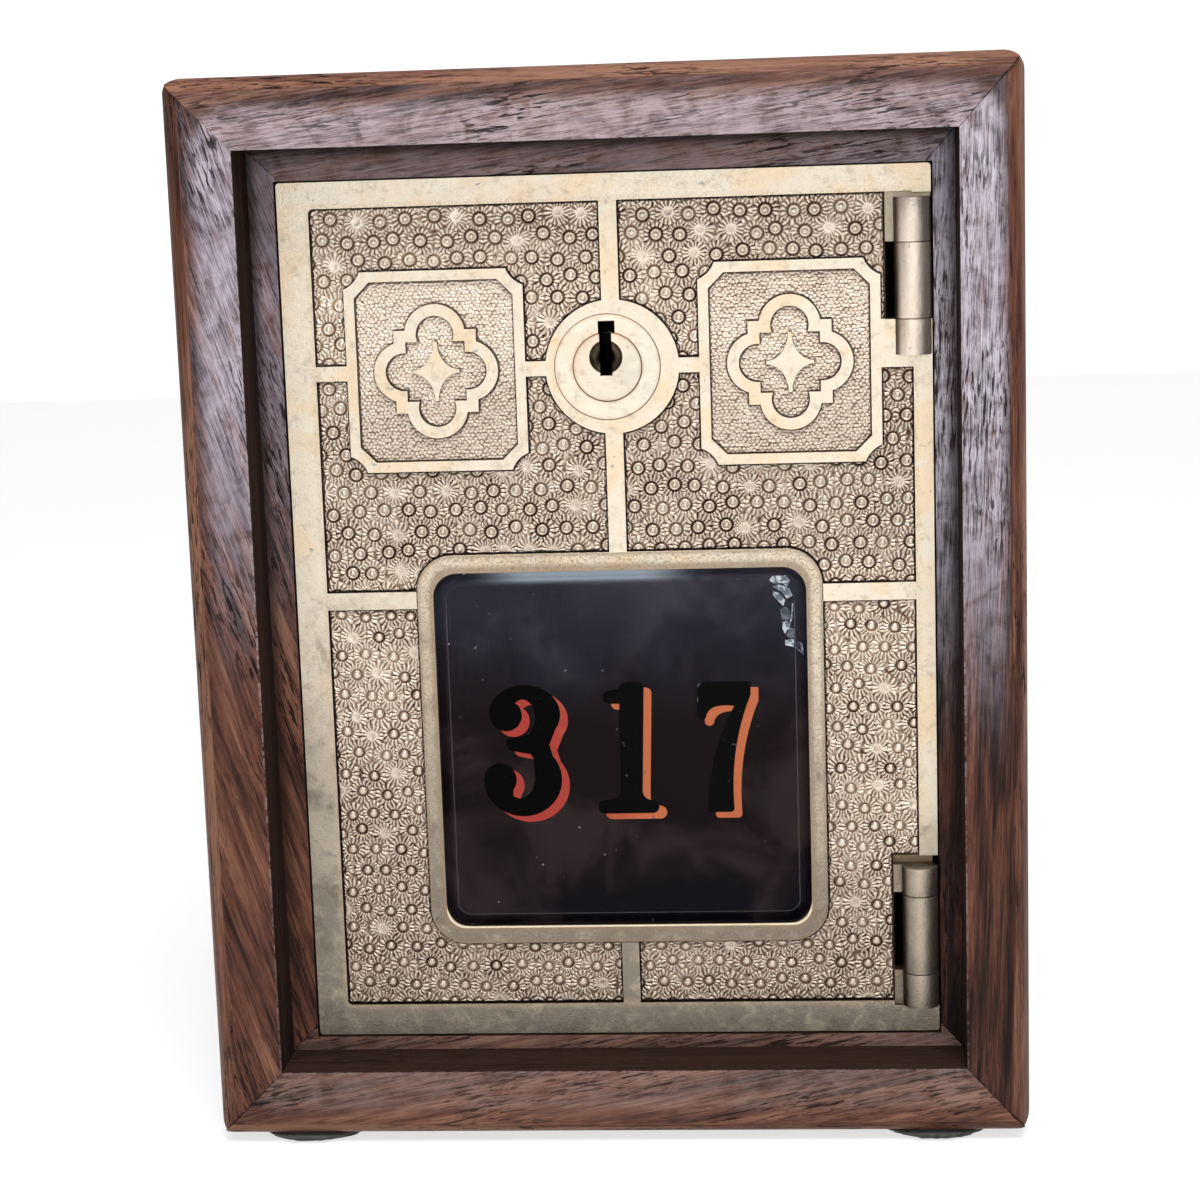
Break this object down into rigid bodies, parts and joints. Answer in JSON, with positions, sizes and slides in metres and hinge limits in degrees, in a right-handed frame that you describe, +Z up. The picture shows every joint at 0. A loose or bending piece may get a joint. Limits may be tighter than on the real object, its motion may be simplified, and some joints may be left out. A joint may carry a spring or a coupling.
{
  "type": "post office box door coin bank",
  "caption": "Walnut coin bank case with a cast brass post office box door: floral relief, bevelled glass window, lever lock, and hinges on its right edge.",
  "frame": {"origin": "middle of the case's footprint, on the surface that the feet stand on", "axes": "+Z up, the door faces -Y, +X to the right when looking at the door"},
  "size_m": [0.1226, 0.114, 0.1594],
  "materials": {
    "walnut": "dark oiled walnut, satin",
    "cast_brass": "worn cast brass, satin, dark in the recesses",
    "plug_brass": "worn satin brass",
    "lock_brass": "dull brass",
    "frame_brass": "dark tarnished cast brass",
    "sheet_brass": "rolled sheet brass",
    "brass_screws": "turned brass",
    "steel_screws": "dull steel",
    "steel_pins": "plain steel",
    "spring_steel": "blued spring steel",
    "glass": "clear bevelled plate glass",
    "felt": "black felt"
  },
  "bodies": {
    "case": {"case_left_side": "walnut", "case_right_side": "walnut", "case_top": "walnut", "case_bottom": "walnut", "back_panel": "walnut", "back_panel_screws": "brass_screws", "feet_pads": "felt", "door_frame": "frame_brass", "door_frame_screws": "steel_screws"},
    "door": {"door": "cast_brass", "hinge_pin_upper": "steel_pins", "hinge_pin_lower": "steel_pins", "window_glass": "glass", "glass_retainer": "sheet_brass", "glass_retainer_screws": "steel_screws", "lock_case": "lock_brass", "lock_cover": "sheet_brass", "lock_cover_screws": "steel_screws", "lock_mounting_screws": "steel_screws", "lever_post": "steel_pins", "bolt_guide": "lock_brass", "bolt_guide_screws": "steel_screws"},
    "key_plug": {"key_plug": "plug_brass"},
    "bolt": {"bolt": "lock_brass"},
    "lever_1": {"lever_1": "sheet_brass", "lever_spring_1": "spring_steel"},
    "lever_2": {"lever_2": "sheet_brass", "lever_spring_2": "spring_steel"},
    "lever_3": {"lever_3": "sheet_brass", "lever_spring_3": "spring_steel"},
    "lever_4": {"lever_4": "sheet_brass", "lever_spring_4": "spring_steel"}
  },
  "joints": [
    {"name": "door_swing", "type": "hinge", "parent": "case", "child": "door", "pos_m": [0.04568, -0.0456, 0.079], "axis": [0, 0, 1], "range_deg": [0, 110]},
    {"name": "bolt_throw", "type": "slide", "parent": "door", "child": "bolt", "axis": [1, 0, 0], "range_m": [-0.00594, 0]},
    {"name": "key_turn", "type": "hinge", "parent": "door", "child": "key_plug", "pos_m": [0.00097, -0.0463, 0.116], "axis": [0, -1, 0], "range_deg": [-90, 0]},
    {"name": "lever_1_lift", "type": "hinge", "parent": "door", "child": "lever_1", "pos_m": [-0.01202, -0.0374, 0.1245], "axis": [0, -1, 0], "range_deg": [0, 7], "deforming": ["lever_spring_1"]},
    {"name": "lever_2_lift", "type": "hinge", "parent": "door", "child": "lever_2", "pos_m": [-0.01202, -0.03625, 0.1245], "axis": [0, -1, 0], "range_deg": [0, 6.2], "deforming": ["lever_spring_2"]},
    {"name": "lever_3_lift", "type": "hinge", "parent": "door", "child": "lever_3", "pos_m": [-0.01202, -0.0351, 0.1245], "axis": [0, -1, 0], "range_deg": [0, 7.6], "deforming": ["lever_spring_3"]},
    {"name": "lever_4_lift", "type": "hinge", "parent": "door", "child": "lever_4", "pos_m": [-0.01202, -0.03395, 0.1245], "axis": [0, -1, 0], "range_deg": [0, 5.6], "deforming": ["lever_spring_4"]}
  ],
  "couplings": [
    {"joint": "key_turn", "follows": "bolt_throw", "rad_per_m": 264.44},
    {"joint": "lever_1_lift", "follows": "bolt_throw", "rad_per_m": -20.566},
    {"joint": "lever_2_lift", "follows": "bolt_throw", "rad_per_m": -18.215},
    {"joint": "lever_3_lift", "follows": "bolt_throw", "rad_per_m": -22.329},
    {"joint": "lever_4_lift", "follows": "bolt_throw", "rad_per_m": -16.453}
  ]
}
